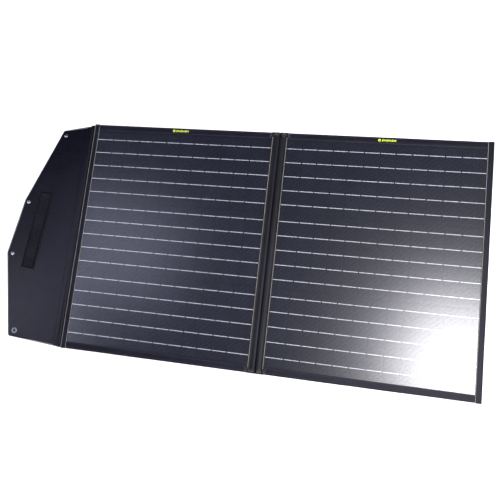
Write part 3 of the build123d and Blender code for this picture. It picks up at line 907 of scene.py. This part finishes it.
def hook_piece():
    """Hook strip: a woven base with a selvedge each side and rows of hooks between; the rib tops get a
    lighter look, a painted highlight, and the valleys keep the darker base, painted shade.
    """
    points = plan_points("hook_strip")
    low, high = box("hook_strip")
    centre = points.mean(axis=0)
    top_pair = points[np.argsort(points[:, 1])[-2:]]
    across = top_pair[np.argmax(top_pair[:, 0])] - top_pair[np.argmin(top_pair[:, 0])]
    width = np.linalg.norm(across)
    across = across / width
    along = np.array([-across[1], across[0]])
    spread = (points - centre) @ along
    length = spread.max() - spread.min()
    columns = [0, 0.02, 0.05, 0.08, 0.11, 0.14, 0.2, 0.35, 0.5, 0.65, 0.78, 0.82, 0.86, 0.9, 0.98, 1.0]
    share, v = np.meshgrid(columns, (np.linspace(0, 1, 301) - 0.5) * length)
    plan = centre + ((share - 0.5) * width)[..., None] * across + v[..., None] * along
    field = np.clip((share - 0.11) / 0.03, 0, 1) * np.clip((0.84 - share) / 0.03, 0, 1)
    field = field * np.clip((0.5 * length - np.abs(v) - 4 * MM) / (1.5 * MM), 0, 1)
    ribs = np.clip(np.sin(2 * math.pi * v / (4.4 * MM)) * 0.8 + 0.45, 0, 1)
    border = np.exp(-(((share - 0.065) / 0.022) ** 2))
    base = low[2] + 0.35 * MM
    top = base + (high[2] - base) * field * (0.25 + 0.75 * ribs) + 0.22 * MM * border
    hooks = field * ribs
    # The lighter look on the rib tops is a painted highlight; the darker base left in the valleys is painted
    # shade.
    pick = (hooks[1:, 1:] + hooks[:-1, :-1] > 1.0).astype(int)
    foot = np.full(top.shape, low[2] - 0.25 * MM)
    skin = shell(*(np.concatenate([plan, z[..., None]], axis=-1) for z in (top, foot)), pick)
    build("hook_tape_strip", skin, [HOOKS, LIT_HOOK_ROWS], "flap", ["hook_strip"])
    seams = []
    half_wide, half_long = width / 2, length / 2
    for side in (-1, 1):
        edge = centre + across * side * (half_wide - 1.4 * MM)
        reach = along * (half_long - 2 * MM)
        ends = [(*p, base) for p in (edge - reach, edge + reach)]
        seams.append(stitches(ends, HOOK_STITCH, seed=5 + side))
        edge = centre + along * side * (half_long - 1.6 * MM)
        reach = across * (half_wide - 2 * MM)
        ends = [(*p, base) for p in (edge - reach, edge + reach)]
        seams.append(stitches(ends, HOOK_STITCH, seed=7 + side))
    build("hook_tape_seams", seams, [BLACK_THREAD], "flap")


# ---- labels


def label(side):
    """Woven patch with a dot and a plain row of slanted bars in place of any mark."""
    low, high = box(f"{side}_label")
    levels = [(low[2] - 0.1 * MM, 0), (high[2] - 0.06 * MM, 0), (high[2] - 0.02 * MM, 0.3 * MM)]
    patch = moulding(low, high, 1.0 * MM, levels)
    middle_y, z = (low[1] + high[1]) / 2, high[2] - 0.05 * MM
    top = z + 0.14 * MM
    dot = [(1.1 * MM, z), (1.1 * MM, top), (2.9 * MM, top), (3.0 * MM, z)]
    marks = [lathe((low[0] + 5.2 * MM, middle_y), dot, 28)]
    wide, slant = 2.1 * MM, 0.25
    for k in range(9):
        x = low[0] + (10.2 + k * 3.35) * MM
        tall = (5.2 if k % 3 == 0 else 3.6) * MM
        under, over, lean = middle_y - tall / 2, middle_y + tall / 2, tall * slant
        bar = [(x, under), (x + wide, under), (x + wide + lean, over), (x + lean, over)]
        marks.append(loft([[(px, py, level) for px, py in bar] for level in (z, top)]))
    parts = [patch] + [recolour(mark, 1) for mark in marks]
    build(f"{side}_woven_label", parts, [NYLON, LABEL], f"{side}_panel", [f"{side}_label"], sharp=30)


# ---- back of the panels


def back_cover(side, sign):
    """Cloth over the back of the board, drawn in at its seams, open for the junction box."""
    low, high = box(f"{side}_rear_cover")
    box_low, box_high = box(f"{side}_junction_box")
    border = 17 * MM
    seams = [low, low + border, box_low, box_high, high - border, high]
    xs, ys = (lines([place[k] for place in seams], 9) for k in (0, 1))
    gx, gy = np.meshgrid(xs, ys)
    mid_x, mid_y = (xs[1:] + xs[:-1]) / 2, (ys[1:] + ys[:-1]) / 2
    in_x = (mid_x > box_low[0]) & (mid_x < box_high[0])
    in_y = (mid_y > box_low[1]) & (mid_y < box_high[1])
    keep = np.ones((len(ys) - 1, len(xs) - 1), bool)
    keep[np.ix_(in_y, in_x)] = False
    bulge = 0.10 * ripple(gx, gy, 120, 71 + sign) + 0.05 * ripple(gx, gy, 35, 72)
    under = low[2] + (0.02 + bulge * edge_fall(xs, ys, 30)) * MM
    skin = slab(xs, ys, high[2] - 0.05 * MM, under, keep=keep)
    node = f"{side}_rear_cover"
    cover = build(f"{side}_back_cloth", skin, [NYLON_BACK], f"{side}_panel", [node])


def kickstand(side):
    """Prop board in a piped cloth sleeve, its hinge tape and its webbing stay."""
    panel, board = f"{side}_panel", f"{side}_kickstand"
    low, high = box(f"{side}_kickstand_board")
    z0, z1 = low[2], high[2]
    profile = offsets(z0, 0, (0.12, 34), (0, 13), (0.05, 8.4), (0.5, 7.4), (0.55, 6.9), (0.1, 5.9), (0, 4.2))
    profile += offsets(z0, 0, (0.25, 2.6), (0.45, 2.2), (0.25, 1.5), (0.4, 0.7), (1.2, 0.1), (1.9, 0.05))
    profile += offsets(z0, 0, (2.5, 0.3)) + offsets(z1, 0, (-0.5, 0.35), (-0.1, 0.9), (0, 2.4))
    corner = 8 * MM
    sleeve = moulding(low, high, corner, profile)
    build(f"{side}_prop_board", sleeve, [NYLON_BACK], board, [f"{side}_kickstand_board"])
    ring = plan_outline(low, high, corner, 6.9 * MM, 6)
    path = [(x, y, z0 + 0.42 * MM) for x, y in ring + ring[:1]]
    build(f"{side}_prop_seam", stitches(path, SLEEVE_STITCH, up=-1, seed=15), [KHAKI], board)
    hinge_y, mid_x = high[1], (low[0] + high[0]) / 2

    low, high = box(f"{side}_kickstand_tape")
    xs = lines([low[0], high[0]], 9)
    ys = lines([hinge_y - 0.2 * MM, hinge_y + 3 * MM, high[1]], 2.5)
    bulge = 0.25 * edge_fall(xs, ys, 1.0) - 0.05 * ripple(*np.meshgrid(xs, ys), 20, 16)
    skin = slab(xs, ys, high[2] - 0.15 * MM, low[2] + (0.35 - bulge) * MM)
    between = (panel, board, (mid_x, hinge_y + 2.5 * MM, z1), (mid_x, hinge_y, z1))
    build(f"{side}_hinge_tape", skin, [WEBBING], None, [f"{side}_kickstand_tape"], between=between)
    rows = []
    z = low[2] + 0.12 * MM
    for offset in (4.0, 12.0, 27.0):
        y = hinge_y + offset * MM
        rows.append(stitches([(low[0] + 2 * MM, y, z), (high[0] - 2 * MM, y, z)], HINGE_STITCH, up=-1))
    build(f"{side}_hinge_tape_seams", rows, [KHAKI], panel)

    low, high = box(f"{side}_kickstand_strap")
    xs, ys = bordered(low[0], high[0], (1,), 4), lines([low[1], high[1] + 0.4 * MM], 3)
    thin = (1 - edge_fall(xs, ys, 0.8)) * MM
    skin = slab(xs, ys, high[2] - 0.1 * MM - 0.2 * thin, low[2] + 0.35 * thin)
    between = (panel, board, (mid_x, low[1] + 22 * MM, z1), (mid_x, high[1], z1))
    nodes = [f"{side}_kickstand_strap"]
    build(f"{side}_stay_webbing", skin, [WEBBING], None, nodes, between=between)
    x0, x1, y0, y1 = low[0] + 3 * MM, high[0] - 3 * MM, low[1] + 2 * MM, low[1] + 19 * MM
    build(f"{side}_stay_tack", crossed_tack(x0, x1, y0, y1, low[2], STAY_STITCH), [KHAKI], panel)


def junction(side):
    """Moulded tub and ribbed lid with its four screws."""
    body = f"{side}_panel"
    low, high = box(f"{side}_junction_box")
    corner = 4 * MM
    profile = offsets(low[2], 0, (0, 0.6), (0.4, 0.1), (0.9, 0)) + offsets(high[2], 0, (-0.4, 0), (0, 0.3))
    tub = moulding(low, high, corner, profile)
    build(f"{side}_box_tub", tub, [PLASTIC], body, [f"{side}_junction_box"], sharp=35)
    low, high = box(f"{side}_junction_lid")
    z0, z1 = low[2], high[2]
    profile = offsets(z0, 0, (0.25, 13), (0.25, 11.6), (0, 11.2), (0, 1.2), (0.2, 0.5), (0.6, 0.1))
    parts = [moulding(low, high, corner, profile + [(z1, 0.0)])]
    half_rib, rib_end, rib_levels = 1.1 * MM, 15 * MM, offsets(z0, 0, (0, 0.4), (0.08, 0.05), (0.4, 0))
    for k in range(7):
        x = low[0] + (17 + k * 9.3) * MM
        rib_low, rib_high = (x - half_rib, low[1] + rib_end), (x + half_rib, high[1] - rib_end)
        parts.append(moulding(rib_low, rib_high, 1.0 * MM, rib_levels))
    build(f"{side}_box_lid", parts, [PLASTIC], body, [f"{side}_junction_lid"], sharp=35)
    heads = []
    for low, high in islands(f"{side}_lid_screws"):
        z, tip = low[2], high[2]
        profile = offsets(0, z, (0.9, 0.55), (0.95, 0.05), (1.3, -0.05), (1.9, 0.1), (2.35, 0.5))
        profile += offsets(0, z, (2.35, 0.75), (1, 0.8)) + offsets(0, tip, (1, -0.5), (0.2, 0))
        profile += offsets(0, z, (0.1, 0.6))
        heads.append(lathe((low[:2] + high[:2]) / 2, profile, 24))
    build(f"{side}_box_screws", heads, [STEEL], body, [f"{side}_lid_screws"], sharp=35)


def loop_pieces():
    """Sewn pad with the loop strip that the hooks meet."""
    body = "right_panel"
    skin = pad(*box("loop_pad"), 4, 0.3, 8.0, seed=23, waves=40)
    cushion = build("loop_cushion", skin, [NYLON_BACK], body, ["loop_pad"])
    low, high = box("loop_strip")
    xs, ys = (bordered(low[k], high[k], (0.8, 2.5), 2) for k in (0, 1))
    tufts = np.random.default_rng(24).uniform(0, 0.35, (len(ys), len(xs)))
    under = high[2] - (0.3 + (0.75 + tufts) * edge_fall(xs, ys, 2.4)) * MM
    pile = slab(xs, ys, high[2] + 0.2 * MM, under)
    build("loop_pile_strip", pile, [LOOPS], body, ["loop_strip"])
    (x0, y0), (x1, y1) = low[:2] + 1.3 * MM, high[:2] - 1.3 * MM
    path = [(x, y, high[2] - 0.65 * MM) for x, y in ((x0, y0), (x1, y0), (x1, y1), (x0, y1), (x0, y0))]
    build("loop_strip_seam", stitches(path, LOOP_STITCH, up=-1), [KHAKI], body)


def handle_piece():
    """Webbing handle, flat at both sewn ends, with a sleeve round its grip."""
    low, high = box("carry_handle")
    xs, ys = bordered(low[0], high[0], (1,), 5), bordered(low[1], high[1], (33, 47), 2.5)
    gy = np.meshgrid(xs, ys)[1]
    away = np.clip((np.abs(gy) - 46 * MM) / (17 * MM), 0, 1)
    rise = away * away * (3 - 2 * away)
    foot_z = high[2] - 1.6 * MM
    under = low[2] + rise * (foot_z - low[2])
    thin = (1 - edge_fall(xs, ys, 0.9)) * MM
    parts = [slab(xs, ys, under + 1.5 * MM - 0.3 * thin, under + 0.35 * thin)]
    middle_x, grip_z, half_grip = (low[0] + high[0]) / 2, low[2] + 0.8 * MM, 43
    grip = []
    for y in bordered(-half_grip * MM, half_grip * MM, (1,), 3):
        swell = 1.0 if abs(y) < (half_grip - 0.5) * MM else 0.6
        section = rounded(12.45 * MM, 0.95 * MM * swell, 0.4, 0.6)
        grip.append([(middle_x + x, y, max(grip_z + z, low[2] - 0.1 * MM)) for x, z in section])
    parts.append(recolour(loft(grip), 1))
    for end in (-1, 1):
        y0, y1 = end * (high[1] - 3 * MM), end * (high[1] - 24 * MM)
        tack = crossed_tack(low[0] + 4 * MM, high[0] - 4 * MM, y0, y1, foot_z, HANDLE_STITCH)
        parts += [recolour(row, 2) for row in tack]
    looks = [WEBBING, NYLON_BACK, KHAKI]
    build("webbing_handle", parts, looks, "left_panel", ["carry_handle"])


def pocket_pieces():
    """Soft pocket with corded edges, its zip, and the slider with its tab."""
    low, high = box("lead_pocket")
    parts = [pad(low, high, 15, 1.3, 5.0, seed=27, waves=55)]
    inset, half_tall = 1.2 * MM, 1.1 * MM
    left, right, near = low[0] + inset, high[0] - inset, low[1] + inset
    edges = [((x, low[1]), (x, high[1])) for x in (left, right)]
    edges.append(((low[0], near), (high[0], near)))
    for start, end in edges:
        across = (1, 0) if start[0] == end[0] else (0, 1)
        rings = []
        for x, y in np.linspace(start, end, 30):
            section = rounded(inset, half_tall, 1, 1, 10)
            level = high[2] - half_tall
            rings.append([(x + across[0] * w, y + across[1] * w, level + z) for w, z in section])
        parts.append(recolour(loft(rings), 1))
    looks = [POCKET_CLOTH, NYLON]
    pocket = build("lead_pouch", parts, looks, "left_panel", ["lead_pocket"])

    low, high = box("pocket_zip")
    xs, ys = lines([low[0], high[0]], 6), bordered(low[1], high[1], (0.6,), 1.2)
    middle_y, tooth_z, half_tooth = (low[1] + high[1]) / 2, low[2] + 0.45 * MM, 1.7 * MM
    ridge = np.exp(-(((np.meshgrid(xs, ys)[1] - middle_y) / (2.6 * MM)) ** 2))
    parts = [slab(xs, ys, high[2], high[2] - (0.7 + 1.0 * ridge) * MM)]
    for k, x in enumerate(np.arange(low[0] + 2 * MM, high[0] - 2 * MM, 1.7 * MM)):
        y = middle_y + (0.7 * MM if k % 2 else -0.7 * MM)
        ends = [(x, y - half_tooth, tooth_z), (x, y + half_tooth, tooth_z)]
        parts.append(recolour(stitches(ends, ZIP_TOOTH, up=-1, seed=k), 1))
    build("pocket_zipper", parts, [ZIP_TAPE, PLASTIC], "left_panel", ["pocket_zip"])

    low, high = box("zip_slider")
    z0, z1 = low[2], high[2]
    levels = offsets(z0, 0, (0.5, 0.8), (0.6, 0.3)) + offsets(z1, 0, (-0.3, 0), (0, 0.4))
    slider = moulding((low[0] + 3.5 * MM, low[1]), high, 2 * MM, levels)
    levels = offsets(z0, 0, (0, 0.4), (0.15, 0), (0.5, 0), (0.65, 0.4))
    tab_low, tab_high = (low[0], low[1] + 1.2 * MM), (high[0] - 2 * MM, high[1] - 1.2 * MM)
    tab = moulding(tab_low, tab_high, 1.5 * MM, levels)
    build("zip_pull_tab", [slider, tab], [GUNMETAL], "zip_pull", ["zip_slider"], sharp=35)


def gland_piece():
    """Lead gland: a flattened nut with a ribbed boot."""
    low, high = box("lead_gland")
    mid_x, mid_z = (low[0] + high[0]) / 2, (low[2] + high[2]) / 2
    # Stations are (distance from the nut's end, half width, half height), in millimetres.
    stations = [(0.0, 6.0, 2.0), (0.6, 6.0, 2.0), (3.0, 5.8, 1.95), (4.2, 4.6, 1.9)]
    stations += [(5.0, 2.6, 1.9), (6.0, 2.5, 1.9), (6.4, 2.1, 1.7), (7.2, 2.1, 1.7)]
    stations += [(7.6, 2.5, 1.9), (8.4, 2.5, 1.9), (8.8, 2.0, 1.6), (10.0, 1.9, 1.5)]
    rings = []
    for away, wide, tall in stations:
        section = rounded(wide * MM, tall * MM, 0.75, 0.75)
        rings.append([(mid_x + x, high[1] - away * MM, mid_z + z) for x, z in section])
    build("gland_boot", loft(rings), [PLASTIC], "left_panel", ["lead_gland"], sharp=35)


# ---- assembly

fold_x = (box("left_fold_welt")[1][0] + box("right_fold_welt")[0][0]) / 2

CAD_LOOKS = {
    "backing_board": BOARD,
    "backsheet": BACKSHEET,
    "cells": FILM_CELL,
    "ribbons": FILM_RIBBON,
    "rim_padding": FOAM,
    "terminals": COPPER,
    "bypass_diode": PLASTIC,
    "flap_stiffener": BOARD,
}
for node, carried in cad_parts.items():
    look = next((m for key, m in CAD_LOOKS.items() if node.endswith(key)), NYLON)
    carried.data.materials.clear()
    carried.data.materials.append(look)

for side, sign in SIDES:
    laminate(side)
    edgings = rim(side, sign)
    welt(side, sign)
    label(side)
    back_cover(side, sign)
    kickstand(side)
    junction(side)
fold_pieces()
spine_piece()
flap_piece()
flap_metal()
hook_piece()
loop_pieces()
handle_piece()
pocket_pieces()
gland_piece()

# ---- floor, lights, camera


def floor_look():
    g = Graph("studio_floor")
    cloudy = g.noise(3.0)
    g.set(Base_Color=g.mix(g.spread(cloudy, 0.3, 0.7), (0.90, 0.90, 0.915), (0.93, 0.93, 0.94)))
    g.set(Roughness=g.spread(cloudy, 0.3, 0.7, 0.6, 0.7), Specular_IOR_Level=0.2)
    return g.material


bpy.ops.mesh.primitive_plane_add(size=14)
floor = bpy.context.object
floor.name = "floor"
floor.data.materials.append(floor_look())


def soft_light(name, place, target, size, power, colour=(1, 1, 1)):
    """Rectangular light aimed from a place at a target."""
    data = bpy.data.lights.new(name, "AREA")
    data.shape = "RECTANGLE"
    data.size, data.size_y = size
    data.energy = power
    data.color = colour
    made = bpy.data.objects.new(name, data)
    bpy.context.scene.collection.objects.link(made)
    made.location = place
    aim = Vector(target) - Vector(place)
    made.rotation_euler = aim.to_track_quat("-Z", "Y").to_euler()


soft_light("key_softbox", (0.95, -0.32, 2.0), (0.5, -0.15, 0), (0.62, 0.74), 83, (1.0, 0.99, 1.03))
soft_light("left_sheen", (-1.15, 0.2, 2.0), (-0.4, 0, 0), (0.6, 0.7), 5.0, (0.88, 0.9, 1.2))
soft_light("flap_sheen", (-1.9, -0.34, 2.0), (-0.45, -0.1, 0), (0.7, 0.8), 11, (0.88, 0.9, 1.15))
fills = (("left", -3.4, 0.3), ("right", 3.4, 0.0), ("back", 0.2, 3.2), ("front", 0.1, -3.2))
for name, x, y in fills:
    soft_light(f"fill_{name}", (x, y, 1.5), (0, 0, 0), (2.4, 1.2), 17)

world = bpy.data.worlds.new("studio")
bpy.context.scene.world = world
world.use_nodes = True
world.node_tree.nodes["Background"].inputs[0].default_value = (0.97, 0.98, 1.0, 1)
world.node_tree.nodes["Background"].inputs[1].default_value = 0.05

bpy.context.scene.view_settings.view_transform = "Standard"

camera_data = bpy.data.cameras.new("camera")
camera = bpy.data.objects.new("camera", camera_data)
bpy.context.scene.collection.objects.link(camera)
camera_data.lens = 39.6
camera_data.sensor_width = 36.0
camera_data.shift_x = 0.014
camera_data.shift_y = -0.02
camera_data.clip_start = 0.05
camera.location = (0.2715, -0.1535, 1.1621)
camera.rotation_euler = [math.radians(a) for a in (9.462, 10.727, 6.600)]
bpy.context.scene.camera = camera
